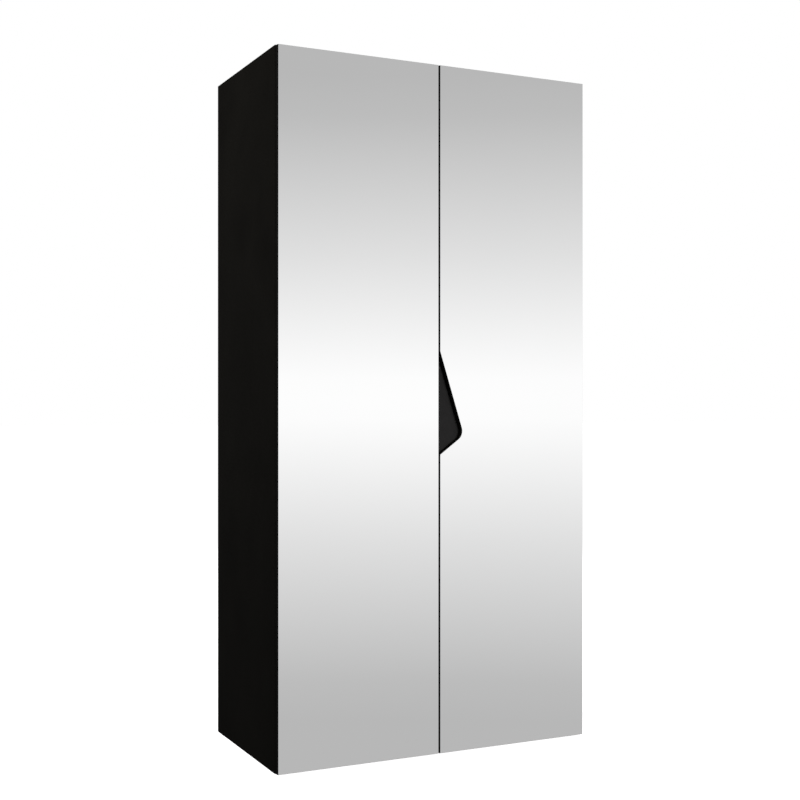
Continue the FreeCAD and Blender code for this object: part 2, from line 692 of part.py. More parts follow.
bands = [front_band(s * (HALF - BOARD / 2) - BOARD / 2, s * (HALF - BOARD / 2) + BOARD / 2,
                    FRONT, GLIDE_HEIGHT, HEIGHT) for s in (-1, 1)]
save("side_edge_bands", bands)
save("panel_edge_bands", [front_band(-INNER, INNER, FRONT, CEILING_Z, HEIGHT),
                          front_band(-INNER, INNER, FRONT, FLOOR_Z - BOARD, FLOOR_Z)])
save("partition_edge_band", [front_band(-PARTITION_HALF, PARTITION_HALF, PARTITION_FRONT,
                                        FLOOR_Z, CEILING_Z)])
shelf_bands = [front_band(-INNER + SHELF_PLAY, -PARTITION_HALF - SHELF_PLAY, SHELF_FRONT,
                          z, z + BOARD) for z in heights]
shelf_bands.append(front_band(PARTITION_HALF + SHELF_PLAY, INNER - SHELF_PLAY, SHELF_FRONT,
                              HAT_SHELF_Z, HAT_SHELF_Z + BOARD))
save("shelf_edge_bands", shelf_bands)

save("clothes_rail", [rail])
save("rail_sockets", sockets)
save("rail_socket_screws", socket_screws)

save("cam_housings", end_cams + mid_cams)
save("cam_bolts", end_bolts + mid_bolts)
save("cam_caps", end_caps + mid_caps)
save("wooden_dowels", end_dowels + mid_dowels + low_dowels)
save("floor_glides", [glide(x, y) for x, y in side_glides + rail_glides])
save("wall_brackets", [wall_bracket(x) for x in BRACKET_X])
save("wall_bracket_screws", [s for x in BRACKET_X for s in bracket_screws(x)])

plates = [hinge_plate(z) for z in HINGE_HEIGHTS]
arms = [hinge_arm(z) for z in HINGE_HEIGHTS]
arm_pins = [arm_pin(z) for z in HINGE_HEIGHTS]
arm_screws = [arm_screw(z) for z in HINGE_HEIGHTS]
plate_fixings = [s for z in HINGE_HEIGHTS for s in plate_screws(z)]
links = [hinge_link(z) for z in HINGE_HEIGHTS]
cups = [hinge_cup(z) for z in HINGE_HEIGHTS]
cup_pins = [cup_pin(z) for z in HINGE_HEIGHTS]
cup_fixings = [s for z in HINGE_HEIGHTS for s in cup_screws(z)]
right_sets = [("hinge_plates", plates), ("hinge_arms", arms), ("hinge_arm_pins", arm_pins)]
right_sets += [("hinge_links", links), ("hinge_cups", cups), ("hinge_cup_pins", cup_pins)]
right_sets += [("hinge_cup_screws", cup_fixings)]
for name, solids in right_sets:
    save("right_" + name, solids)
    save("left_" + name, [mirrored(solid) for solid in solids])
save("hinge_arm_screws", arm_screws + [mirrored(solid) for solid in arm_screws])
save("hinge_plate_screws", plate_fixings + [mirrored(solid) for solid in plate_fixings])

bumpers = [rod(4.0, (x, DOOR_BACK, z), (0, 1, 0), DOOR_GAP - 0.3) for x, z in bumper_places()]
save("right_door_bumpers", bumpers)
save("left_door_bumpers", [mirrored(bumper) for bumper in bumpers])

leaf_tools = [tool for z in HINGE_HEIGHTS for tool in cup_bores(z)]
board, band, glass, tapes = door_leaf(False, leaf_tools)
for name, solids in [("board", [board]), ("edge_band", [band]), ("mirror", [glass]),
                     ("mirror_tapes", tapes)]:
    save("left_door_" + name, [mirrored(solid) for solid in solids])

shell_fixings = [screw((x, DOOR_BACK + GRIP_FLANGE_THICK, z), (0, -1, 0), 12.0, 1.4)
                 for x, z in grip_screw_places()]
shell_holes = [rod(SCREW_R, (x, DOOR_BACK, z), (0, -1, 0), 12.0 - GRIP_FLANGE_THICK)
               for x, z in grip_screw_places()]
board, band, glass, tapes = door_leaf(True, leaf_tools + shell_holes)
save("right_door_board", [board])
save("right_door_edge_band", [band])
save("right_door_mirror", [glass])
save("right_door_mirror_tapes", tapes)
save("grip_shell", [grip_shell()])
save("grip_shell_screws", shell_fixings)
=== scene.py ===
"""Two-door wardrobe in black board with mirror leaves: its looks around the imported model."""

import json
import logging
import math
from collections.abc import Callable
from dataclasses import dataclass
from enum import Enum
from typing import Protocol

import bpy
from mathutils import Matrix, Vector


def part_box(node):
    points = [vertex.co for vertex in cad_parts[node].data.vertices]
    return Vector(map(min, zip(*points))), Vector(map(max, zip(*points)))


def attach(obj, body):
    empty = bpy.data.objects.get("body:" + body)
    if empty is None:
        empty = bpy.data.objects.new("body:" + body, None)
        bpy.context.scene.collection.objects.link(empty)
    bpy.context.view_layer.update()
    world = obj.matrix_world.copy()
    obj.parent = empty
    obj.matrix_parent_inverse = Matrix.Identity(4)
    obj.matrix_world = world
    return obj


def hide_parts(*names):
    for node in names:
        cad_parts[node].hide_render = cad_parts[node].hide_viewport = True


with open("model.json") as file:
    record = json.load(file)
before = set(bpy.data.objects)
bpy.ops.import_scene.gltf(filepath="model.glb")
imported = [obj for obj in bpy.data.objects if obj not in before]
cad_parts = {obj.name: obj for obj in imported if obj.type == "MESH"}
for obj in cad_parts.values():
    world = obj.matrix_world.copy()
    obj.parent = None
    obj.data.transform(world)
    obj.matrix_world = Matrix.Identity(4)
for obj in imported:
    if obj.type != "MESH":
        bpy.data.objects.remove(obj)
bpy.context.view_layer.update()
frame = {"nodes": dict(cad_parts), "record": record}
RECORD: dict = frame["record"]
LOG = logging.getLogger("wardrobe")

Triple = tuple[float, float, float]
Colour = Triple
Span = tuple[float, float]
Socket = bpy.types.NodeSocket

# Points closer than this, in metres, are one, and faces flatter than this, in degrees, are joined.
MERGE = 0.000005
FLAT = 0.5

# Edges sharper than this, in degrees, are rounded.
SHARP = 40.0

# A face whose normal reaches further than this along Y is a rear face.
REARWARD = 0.9

# Where most of a noise's values lie, and most of a cell pattern's.
NOISE_SPAN: Span = (0.3, 0.7)
CELL_SPAN: Span = (0.0, 0.8)

# The parts whose edges are rounded.
BANDS = (
    "left_door_edge_band",
    "right_door_edge_band",
    "side_edge_bands",
    "panel_edge_bands",
    "partition_edge_band",
    "shelf_edge_bands",
)
FITTINGS = ("wall_brackets", "rail_sockets")


class Side(Enum):
    """Which of the two leaves, with the way its outer edge lies."""

    LEFT = -1
    RIGHT = 1

    @property
    def word(self) -> str:
        """The name used in front of this side's nodes."""
        return self.name.lower()


class Along(Enum):
    """The direction a grain or brush mark runs in."""

    X = (0.04, 1.0, 1.0)
    Z = (1.0, 1.0, 0.04)


# ---- finishes ------------------------------------------------------------


@dataclass(frozen=True)
class Grain:
    """A soft random pattern: clouds per metre, how many finer ones, and its stretch."""

    scale: float
    detail: float
    stretch: Triple = (1.0, 1.0, 1.0)


def brighter(colour: Colour, times: float) -> Colour:
    """A colour multiplied."""
    return tuple(part * times for part in colour)


class Recipe:
    """The nodes of one finish, laid out around a single Principled shader."""

    def __init__(self, name: str) -> None:
        """Starts an empty finish.

        Args:
            name: the material's name.
        """
        self.material = bpy.data.materials.new(name)
        self.material.use_nodes = True
        self.tree = self.material.node_tree
        self.shader = self.tree.nodes["Principled BSDF"]
        self.coordinate = self.tree.nodes.new("ShaderNodeTexCoord")

    def place(self, scale: Triple = (1.0, 1.0, 1.0)) -> Socket:
        """Object coordinates, stretched.

        Args:
            scale: how much each axis is stretched.

        Returns:
            The vector output.
        """
        mapping = self.tree.nodes.new("ShaderNodeMapping")
        mapping.inputs["Scale"].default_value = scale
        self.tree.links.new(self.coordinate.outputs["Object"], mapping.inputs["Vector"])
        return mapping.outputs["Vector"]

    def facing_rear(self) -> Socket:
        """How far the surface faces the rear.

        Returns:
            The value output, from -1 at the front to 1 at the rear.
        """
        split = self.tree.nodes.new("ShaderNodeSeparateXYZ")
        self.tree.links.new(self.coordinate.outputs["Normal"], split.inputs["Vector"])
        return split.outputs["Y"]

    def noise(self, grain: Grain) -> Socket:
        """Soft random cloud.

        Args:
            grain: how coarse, detailed and stretched it is.

        Returns:
            The value output.
        """
        node = self.tree.nodes.new("ShaderNodeTexNoise")
        node.inputs["Scale"].default_value = grain.scale
        node.inputs["Detail"].default_value = grain.detail
        self.tree.links.new(self.place(grain.stretch), node.inputs["Vector"])
        return node.outputs["Fac"]

    def pits(self, scale: float) -> Socket:
        """Small cells, as on a spark-eroded mould.

        Args:
            scale: cells per metre.

        Returns:
            The distance output.
        """
        node = self.tree.nodes.new("ShaderNodeTexVoronoi")
        node.inputs["Scale"].default_value = scale
        self.tree.links.new(self.place(), node.inputs["Vector"])
        return node.outputs["Distance"]

    def reshape(self, value: Socket, span: Span, result: Span) -> Socket:
        """Maps one span of a value to another, clamped.

        Args:
            value: the value to map.
            span: the two values that become the ends of the result.
            result: the first and the last result.

        Returns:
            The mapped value.
        """
        node = self.tree.nodes.new("ShaderNodeMapRange")
        for name, number in zip(("From Min", "From Max", "To Min", "To Max"), span + result):
            node.inputs[name].default_value = number
        self.tree.links.new(value, node.inputs["Value"])
        return node.outputs["Result"]

    def sum(self, one: Socket, other: Socket, share: float) -> Socket:
        """One value plus a share of another.

        Args:
            one: the first value.
            other: the second value.
            share: how much of the second is added.

        Returns:
            The sum.
        """
        node = self.tree.nodes.new("ShaderNodeMath")
        node.operation = "MULTIPLY_ADD"
        node.inputs[1].default_value = share
        self.tree.links.new(other, node.inputs[0])
        self.tree.links.new(one, node.inputs[2])
        return node.outputs[0]

    def tint(self, value: Socket, span: Span, first: Colour, last: Colour) -> Socket:
        """Shades from one colour to another.

        Args:
            value: how far along the shade each point lies.
            span: the values at which the two colours are reached.
            first: the colour at the start of the span.
            last: the colour at its end.

        Returns:
            The colour output.
        """
        node = self.tree.nodes.new("ShaderNodeValToRGB")
        for element, position, colour in zip(node.color_ramp.elements, span, (first, last)):
            element.position = position
            element.color = (*colour, 1.0)
        self.tree.links.new(value, node.inputs["Fac"])
        return node.outputs["Color"]

    def blend(self, share: Socket, one: Socket, other: Socket) -> Socket:
        """Mixes two colours.

        Args:
            share: 0 gives the first, 1 the second.
            one: the first colour.
            other: the second colour.

        Returns:
            The mixed colour.
        """
        node = self.tree.nodes.new("ShaderNodeMix")
        node.data_type = "RGBA"
        self.tree.links.new(share, node.inputs["Factor"])
        self.tree.links.new(one, node.inputs["A"])
        self.tree.links.new(other, node.inputs["B"])
        return node.outputs["Result"]

    def fix(self, **numbers: float) -> None:
        """Sets shader sockets that are the same all over.

        Args:
            numbers: socket names, with _ for a space, and their values.
        """
        for name, number in numbers.items():
            self.shader.inputs[name.replace("_", " ")].default_value = number

    def feed(self, socket: str, value: Socket) -> None:
        """Links a value to a shader socket."""
        self.tree.links.new(value, self.shader.inputs[socket])

    def relief(self, height: Socket, depth: float, strength: float) -> None:
        """Raises the surface a little.

        Args:
            height: the height value.
            depth: metres between the lowest and the highest point.
            strength: how strongly it is felt.
        """
        node = self.tree.nodes.new("ShaderNodeBump")
        node.inputs["Distance"].default_value = depth
        node.inputs["Strength"].default_value = strength
        self.tree.links.new(height, node.inputs["Height"])
        self.tree.links.new(node.outputs["Normal"], self.shader.inputs["Normal"])


class Finish(Protocol):
    """What every finish can do."""

    def make(self) -> bpy.types.Material:
        """Builds the finish."""


@dataclass(frozen=True)
class BlackBoard:
    """Matt black melamine paper on board, with a faint pearl grain."""

    low: Colour = (0.0054, 0.0050, 0.0042)
    high: Colour = (0.0082, 0.0076, 0.0064)
    shades: Span = (0.45, 0.9)
    cloud: Grain = Grain(5.0, 5.0)
    pearl: Grain = Grain(900.0, 3.0)
    pearl_share: float = 0.35
    dust: Grain = Grain(2600.0, 2.0)
    dust_share: float = 0.6
    rough: Span = (0.52, 0.66)
    shine: float = 0.004
    depth: float = 0.00006
    relief: float = 0.5

    def make(self) -> bpy.types.Material:
        """Builds the finish.

        Returns:
            The material.
        """
        recipe = Recipe("black_melamine")
        cloud = recipe.noise(self.cloud)
        pearl = recipe.noise(self.pearl)
        value = recipe.sum(cloud, pearl, self.pearl_share)
        recipe.feed("Base Color", recipe.tint(value, self.shades, self.low, self.high))
        recipe.feed("Roughness", recipe.reshape(pearl, NOISE_SPAN, self.rough))
        recipe.fix(Specular_IOR_Level=self.shine)
        height = recipe.sum(pearl, recipe.noise(self.dust), self.dust_share)
        recipe.relief(height, self.depth, self.relief)
        return recipe.material


@dataclass(frozen=True)
class BlackBand:
    """Black edge band, drawn lengthwise as it is glued and scraped."""

    low: Colour = (0.0040, 0.0037, 0.0033)
    high: Colour = (0.0066, 0.0061, 0.0055)
    drawn: Grain = Grain(700.0, 3.0, Along.Z.value)
    rough: Span = (0.44, 0.60)
    shine: float = 0.004
    depth: float = 0.00003
    relief: float = 0.4

    def make(self) -> bpy.types.Material:
        """Builds the finish.

        Returns:
            The material.
        """
        recipe = Recipe("black_edge_band")
        drawn = recipe.noise(self.drawn)
        recipe.feed("Base Color", recipe.tint(drawn, NOISE_SPAN, self.low, self.high))
        recipe.feed("Roughness", recipe.reshape(drawn, NOISE_SPAN, self.rough))
        recipe.fix(Specular_IOR_Level=self.shine)
        recipe.relief(drawn, self.depth, self.relief)
        return recipe.material


@dataclass(frozen=True)
class SilveredGlass:
    """Mirror glass: silvered face, ground green-grey edge, painted back."""

    silver: Colour = (0.985, 0.985, 0.985)
    hazed: Colour = (0.975, 0.977, 0.978)
    haze: Span = (0.4, 0.85)
    edge: Colour = (0.0040, 0.0055, 0.0050)
    edge_sparkle: float = 1.8
    edge_rough: float = 0.38
    paint: Colour = (0.055, 0.060, 0.062)
    paint_streaks: float = 1.4
    wipe: Grain = Grain(2.2, 3.0, (1.0, 1.0, 0.35))
    dust: Grain = Grain(160.0, 4.0)
    dust_in_haze: float = 0.2
    dust_in_smear: float = 0.3
    ground: Grain = Grain(1500.0, 3.0)
    streaks: Grain = Grain(30.0, 5.0)
    face_ends: Span = (-0.98, -0.85)
    back_starts: Span = (0.8, 0.95)
    smear: Span = (0.35, 0.95)
    smear_rough: Span = (0.0, 0.012)
    shine: float = 0.01

    def make(self) -> bpy.types.Material:
        """Builds the finish.

        Returns:
            The material.
        """
        recipe = Recipe("silvered_mirror")
        wipe = recipe.noise(self.wipe)
        dust = recipe.noise(self.dust)
        haze = recipe.sum(wipe, dust, self.dust_in_haze)
        silver = recipe.tint(haze, self.haze, self.silver, self.hazed)
        sparkle = brighter(self.edge, self.edge_sparkle)
        ground = recipe.tint(recipe.noise(self.ground), NOISE_SPAN, self.edge, sparkle)
        off_face = recipe.reshape(recipe.facing_rear(), self.face_ends, (0.0, 1.0))
        on_back = recipe.reshape(recipe.facing_rear(), self.back_starts, (0.0, 1.0))
        streaked = brighter(self.paint, self.paint_streaks)
        paint = recipe.tint(recipe.noise(self.streaks), NOISE_SPAN, self.paint, streaked)
        recipe.feed("Base Color", recipe.blend(on_back, recipe.blend(off_face, silver, ground), paint))
        recipe.feed("Metallic", recipe.reshape(recipe.facing_rear(), self.face_ends, (1.0, 0.0)))
        smear = recipe.sum(wipe, dust, self.dust_in_smear)
        smear = recipe.reshape(smear, self.smear, self.smear_rough)
        recipe.feed("Roughness", recipe.sum(smear, off_face, self.edge_rough))
        recipe.fix(Specular_IOR_Level=self.shine)
        return recipe.material


@dataclass(frozen=True)
class FoamTape:
    """Dark mounting foam between board and glass."""

    low: Colour = (0.010, 0.010, 0.010)
    high: Colour = (0.022, 0.022, 0.022)
    shades: Span = (0.1, 0.8)
    cells: float = 2200.0
    rough: Span = (0.95, 0.8)
    depth: float = 0.0002
    relief: float = 0.8

    def make(self) -> bpy.types.Material:
        """Builds the finish.

        Returns:
            The material.
        """
        recipe = Recipe("mounting_foam")
        cells = recipe.pits(self.cells)
        recipe.feed("Base Color", recipe.tint(cells, self.shades, self.low, self.high))
        recipe.feed("Roughness", recipe.reshape(cells, CELL_SPAN, self.rough))
        recipe.relief(cells, self.depth, self.relief)
        return recipe.material


@dataclass(frozen=True)
class BackSheet:
    """Thin fibreboard: black print inside, raw pressed fibre on the rear."""

    print_low: Colour = (0.0060, 0.0056, 0.0050)
    print_high: Colour = (0.0105, 0.0098, 0.0090)
    print_grain: Grain = Grain(500.0, 3.0)
    fibre_low: Colour = (0.120, 0.068, 0.036)
    fibre_high: Colour = (0.215, 0.132, 0.076)
    fibre_shades: Span = (0.35, 0.85)
    fibres: Grain = Grain(260.0, 6.0, (1.0, 1.0, 0.5))
    patches: Grain = Grain(7.0, 4.0)
    patch_share: float = 0.2
    inside_ends: Span = (-0.5, -0.4)
    rough_span: Span = (0.4, 1.0)
    rough: Span = (0.9, 0.62)
    shine: float = 0.12
    depth: float = 0.00015
    relief: float = 0.6

    def make(self) -> bpy.types.Material:
        """Builds the finish.

        Returns:
            The material.
        """
        recipe = Recipe("fibreboard_back")
        fibres = recipe.sum(recipe.noise(self.fibres), recipe.noise(self.patches), self.patch_share)
        raw = recipe.tint(fibres, self.fibre_shades, self.fibre_low, self.fibre_high)
        printed = recipe.tint(recipe.noise(self.print_grain), NOISE_SPAN, self.print_low, self.print_high)
        inside = recipe.reshape(recipe.facing_rear(), self.inside_ends, (1.0, 0.0))
        recipe.feed("Base Color", recipe.blend(inside, raw, printed))
        recipe.feed("Roughness", recipe.reshape(fibres, self.rough_span, self.rough))
        recipe.fix(Specular_IOR_Level=self.shine)
        recipe.relief(fibres, self.depth, self.relief)
        return recipe.material


@dataclass(frozen=True)
class BeechWood:
    """Turned beech of the dowels."""

    light: Colour = (0.56, 0.36, 0.19)
    dark: Colour = (0.33, 0.18, 0.085)
    shades: Span = (0.35, 0.62)
    rings: Grain = Grain(900.0, 5.0, Along.X.value)
    rough: Span = (0.7, 0.5)
    depth: float = 0.0001
    relief: float = 0.5

    def make(self) -> bpy.types.Material:
        """Builds the finish.

        Returns:
            The material.
        """
        recipe = Recipe("beech_dowel")
        rings = recipe.noise(self.rings)
        recipe.feed("Base Color", recipe.tint(rings, self.shades, self.dark, self.light))
        recipe.feed("Roughness", recipe.reshape(rings, NOISE_SPAN, self.rough))
        recipe.relief(rings, self.depth, self.relief)
        return recipe.material


@dataclass(frozen=True)
class BareMetal:
    """Plated or polished metal with brush marks.

    The marks run along one axis; hazy patches change the gloss.
    """

    name: str
    light: Colour
    dark: Colour
    gloss: float
    dull: float
    brushed: Grain = Grain(1500.0, 3.0, Along.Z.value)
    patches: Grain = Grain(60.0, 4.0)
    brushed_share: float = 0.4
    shades: Span = (0.45, 0.85)
    gloss_span: Span = (0.45, 0.9)
    depth: float = 0.00002
    relief: float = 0.5

    def make(self) -> bpy.types.Material:
        """Builds the finish.

        Returns:
            The material.
        """
        recipe = Recipe(self.name)
        brushed = recipe.noise(self.brushed)
        value = recipe.sum(recipe.noise(self.patches), brushed, self.brushed_share)
        recipe.feed("Base Color", recipe.tint(value, self.shades, self.dark, self.light))
        recipe.feed("Roughness", recipe.reshape(value, self.gloss_span, (self.dull, self.gloss)))
        recipe.fix(Metallic=1.0)
        recipe.relief(brushed, self.depth, self.relief)
        return recipe.material


@dataclass(frozen=True)
class MouldedPlastic:
    """Moulded plastic with the fine grain of its mould."""

    name: str
    low: Colour
    high: Colour
    cells: float = 1400.0
    rough: float = 0.5
    shine: float = 0.25
    rougher: float = 0.08
    smoother: float = 0.05
    shades: Span = (0.4, 0.9)
    flow: Grain = Grain(25.0, 4.0)
    cell_share: float = 0.4
    depth: float = 0.00006
    relief: float = 0.5

    def make(self) -> bpy.types.Material:
        """Builds the finish.

        Returns:
            The material.
        """
        recipe = Recipe(self.name)
        cells = recipe.pits(self.cells)
        value = recipe.sum(recipe.noise(self.flow), cells, self.cell_share)
        rough = (self.rough + self.rougher, self.rough - self.smoother)
        recipe.feed("Base Color", recipe.tint(value, self.shades, self.low, self.high))
        recipe.feed("Roughness", recipe.reshape(cells, CELL_SPAN, rough))
        recipe.fix(Specular_IOR_Level=self.shine)
        recipe.relief(cells, self.depth, self.relief)
        return recipe.material


@dataclass(frozen=True)
class Silicone:
    """Milky soft bumper."""

    low: Colour = (0.50, 0.51, 0.50)
    high: Colour = (0.74, 0.75, 0.74)
    cloud: Grain = Grain(420.0, 4.0)
    rough: Span = (0.22, 0.38)
    clear: float = 0.35
    milky: float = 0.2

    def make(self) -> bpy.types.Material:
        """Builds the finish.

        Returns:
            The material.
        """
        recipe = Recipe("milky_silicone")
        cloud = recipe.noise(self.cloud)
        recipe.feed("Base Color", recipe.tint(cloud, NOISE_SPAN, self.low, self.high))
        recipe.feed("Roughness", recipe.reshape(cloud, NOISE_SPAN, self.rough))
        recipe.fix(Transmission_Weight=self.clear, Subsurface_Weight=self.milky)
        return recipe.material


FINISHES: dict[str, Finish] = {
    "black_board": BlackBoard(),
    "edge_band": BlackBand(),
    "mirror_glass": SilveredGlass(),
    "bonding_tape": FoamTape(),
    "back_sheet": BackSheet(),
    "dowel_wood": BeechWood(),
    "rail_chrome": BareMetal(
        "rail_chrome",
        light=(0.78, 0.79, 0.80),
        dark=(0.62, 0.63, 0.65),
        gloss=0.07,
        dull=0.16,
        brushed=Grain(1500.0, 3.0, Along.X.value),
    ),
    "cast_zinc": BareMetal(
        "cast_zinc",
        light=(0.46, 0.47, 0.48),
        dark=(0.25, 0.26, 0.27),
        gloss=0.32,
        dull=0.5,
        brushed=Grain(700.0, 3.0, Along.Z.value),
        depth=0.00006,
    ),
    "black_plastic": MouldedPlastic(
        "black_cap_plastic", low=(0.006, 0.006, 0.006), high=(0.013, 0.013, 0.012)
    ),
    "grip_plastic": MouldedPlastic(
        "grip_shell_plastic",
        low=(0.0140, 0.0135, 0.0135),
        high=(0.0190, 0.0183, 0.0183),
        cells=1100.0,
        rough=0.55,
        shine=0.12,
    ),
    "glide_nylon": MouldedPlastic(
        "glide_nylon",
        low=(0.012, 0.012, 0.012),
        high=(0.024, 0.024, 0.023),
        cells=900.0,
        rough=0.42,
        shine=0.35,
    ),
    "bumper_silicone": Silicone(),
    "zinc_steel": BareMetal(
        "zinc_steel", light=(0.60, 0.59, 0.55), dark=(0.38, 0.37, 0.35), gloss=0.22, dull=0.4
    ),
    "nickel_steel": BareMetal(
        "nickel_steel", light=(0.66, 0.64, 0.60), dark=(0.44, 0.43, 0.41), gloss=0.16, dull=0.32
    ),
}


class Paintbox:
    """Makes each finish once and gives it by its slot in the record."""

    def __init__(self) -> None:
        """Starts with nothing made."""
        self.made: dict[str, bpy.types.Material] = {}
        self.slots: dict[str, str] = {row["node"]: row["material_slot"] for row in RECORD["subparts"]}

    def get(self, slot: str) -> bpy.types.Material:
        """The material of a slot, made at its first use.

        Args:
            slot: the slot's name in the record.

        Returns:
            The material.
        """
        if slot not in self.made:
            self.made[slot] = FINISHES[slot].make()
        return self.made[slot]

    def dress_nodes(self) -> int:
        """Gives every CAD node its finish.

        Returns:
            How many nodes were dressed.
        """
        for name, node in frame["nodes"].items():
            node.data.materials.clear()
            node.data.materials.append(self.get(self.slots[name]))
        return len(frame["nodes"])


PAINT = Paintbox()


# ---- modelling helpers ---------------------------------------------------


class Bench:
    """The workbench: how pieces are started, shaped and handed over."""

    @staticmethod
    def clear() -> None:
        """Deselects everything."""
        if bpy.context.object and bpy.context.object.mode != "OBJECT":
            bpy.ops.object.mode_set(mode="OBJECT")
        bpy.ops.object.select_all(action="DESELECT")

    @staticmethod
    def pick(piece: bpy.types.Object) -> None:
        """Makes one piece the active and only selected one.

        Args:
            piece: the piece.
        """
        Bench.clear()
        piece.select_set(True)
        bpy.context.view_layer.objects.active = piece

    @staticmethod
    def settle(piece: bpy.types.Object) -> None:
        """Puts the piece's place into its mesh."""
        Bench.pick(piece)
        bpy.ops.object.transform_apply(location=True, rotation=True, scale=True)

    @staticmethod
    def block(name: str, low: Vector, high: Vector) -> bpy.types.Object:
        """A box between two corners.

        Args:
            name: the piece's name.
            low: its lowest corner.
            high: its highest corner.

        Returns:
            The new piece.
        """
        Bench.clear()
        bpy.ops.mesh.primitive_cube_add(size=1.0, location=(low + high) / 2)
        piece = bpy.context.object
        piece.name = name
        piece.scale = high - low
        Bench.settle(piece)
        return piece

    @staticmethod
    def round_bar(name: str, centre: Vector, radius: float, length: float) -> bpy.types.Object:
        """A round bar that lies along Y.

        Args:
            name: the piece's name.
            centre: its middle.
            radius: its radius.
            length: its length.

        Returns:
            The new piece.
        """
        Bench.clear()
        bpy.ops.mesh.primitive_cylinder_add(
            radius=radius, depth=length, location=centre, rotation=(math.pi / 2, 0.0, 0.0)
        )
        piece = bpy.context.object
        piece.name = name
        Bench.settle(piece)
        return piece

    @staticmethod
    def select_faces(piece: bpy.types.Object, wanted: Callable[[bpy.types.MeshPolygon], bool]) -> None:
        """Selects only the faces that pass a test, then enters edit mode.

        Args:
            piece: the piece.
            wanted: the test of a face.
        """
        Bench.pick(piece)
        bpy.ops.object.mode_set(mode="EDIT")
        bpy.ops.mesh.select_all(action="DESELECT")
        bpy.ops.mesh.select_mode(type="FACE")
        bpy.ops.object.mode_set(mode="OBJECT")
        for face in piece.data.polygons:
            face.select = wanted(face)
        bpy.ops.object.mode_set(mode="EDIT")

    @staticmethod
    def leave_edit() -> None:
        """Goes back to object mode."""
        bpy.ops.object.mode_set(mode="OBJECT")

    @staticmethod
    def soften(piece: bpy.types.Object, width: float, segments: int = 2) -> None:
        """Rounds the sharp edges.

        Args:
            piece: the piece.
            width: how far the rounding reaches.
            segments: how many facets it has.
        """
        bevel = piece.modifiers.new("rounding", "BEVEL")
        bevel.width = width
        bevel.segments = segments
        bevel.limit_method = "ANGLE"
        bevel.angle_limit = math.radians(SHARP)
        Bench.pick(piece)
        bpy.ops.object.modifier_apply(modifier=bevel.name)

    @staticmethod
    def smooth(piece: bpy.types.Object, angle: float = 35.0) -> None:
        """Shades flat and round faces as they are."""
        Bench.pick(piece)
        bpy.ops.object.shade_smooth_by_angle(angle=math.radians(angle))

    @staticmethod
    def copy_node(node: str, name: str) -> bpy.types.Object:
        """A clean copy of a CAD node's shape, its loose triangles merged.

        Args:
            node: the CAD node.
            name: the new piece's name.

        Returns:
            The new piece.
        """
        source = frame["nodes"][node]
        piece = bpy.data.objects.new(name, source.data.copy())
        bpy.context.scene.collection.objects.link(piece)
        Bench.pick(piece)
        bpy.ops.object.mode_set(mode="EDIT")
        bpy.ops.mesh.select_all(action="SELECT")
        bpy.ops.mesh.remove_doubles(threshold=MERGE)
        bpy.ops.mesh.dissolve_limited(angle_limit=math.radians(FLAT))
        bpy.ops.object.mode_set(mode="OBJECT")
        return piece

    @staticmethod
    def join(name: str, parts: list[bpy.types.Object]) -> bpy.types.Object:
        """Joins parts into one piece.

        Args:
            name: the joined piece's name.
            parts: what is joined.

        Returns:
            The joined piece.
        """
        Bench.clear()
        for part in parts:
            part.select_set(True)
        bpy.context.view_layer.objects.active = parts[0]
        bpy.ops.object.join()
        parts[0].name = name
        return parts[0]

    @staticmethod
    def repeat(piece: bpy.types.Object, rises: list[float], name: str) -> bpy.types.Object:
        """Copies a piece upwards, each copy with its own mesh, and joins them all.

        Args:
            piece: the piece as first modelled.
            rises: how much higher each copy stands.
            name: the joined piece's name.

        Returns:
            The joined piece.
        """
        row = [piece]
        for rise in rises:
            twin = bpy.data.objects.new(name, piece.data.copy())
            bpy.context.scene.collection.objects.link(twin)
            twin.location.z = rise
            Bench.settle(twin)
            row.append(twin)
        return Bench.join(name, row)

    @staticmethod
    def hand_over(piece: bpy.types.Object, body: str, slot: str, instead: tuple[str, ...] = ()) -> None:
        """Dresses a finished piece and sets it on its body.

        Args:
            piece: the finished piece.
            body: the body it moves with.
            slot: its slot in the record.
            instead: the CAD nodes it stands for.
        """
        piece.data.materials.clear()
        piece.data.materials.append(PAINT.get(slot))
        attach(piece, body)
        if instead:
            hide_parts(*instead)
        LOG.info("%s rides on %s", piece.name, body)


def body_of(node: str) -> str:
    """The body that a CAD node belongs to."""
    bodies: dict[str, list[str]] = RECORD["behaviour"]["bodies"]
    return next(body for body, nodes in bodies.items() if node in nodes)


# ---- sub-assemblies ------------------------------------------------------


@dataclass
class SoftenedParts:
    """Parts whose edges are a little rounded, as on the real ones."""

    nodes: tuple[str, ...]
    rounding: float

    def build(self) -> None:
        """Makes each rounded part in place of its CAD node."""
        for node in self.nodes:
            piece = Bench.copy_node(node, node + "_rounded")
            Bench.soften(piece, self.rounding)
            Bench.smooth(piece)
            Bench.hand_over(piece, body_of(node), PAINT.slots[node], (node,))


@dataclass
class MirrorPane:
    """One leaf's glass with its ground arris."""

    side: Side
    arris: float = 0.0003

    def build(self) -> None:
        """Makes the pane in place of the CAD glass."""
        node = self.side.word + "_door_mirror"
        piece = Bench.copy_node(node, self.side.word + "_mirror_pane")
        Bench.soften(piece, self.arris, 1)
        Bench.hand_over(piece, self.side.word + "_door", "mirror_glass", (node,))


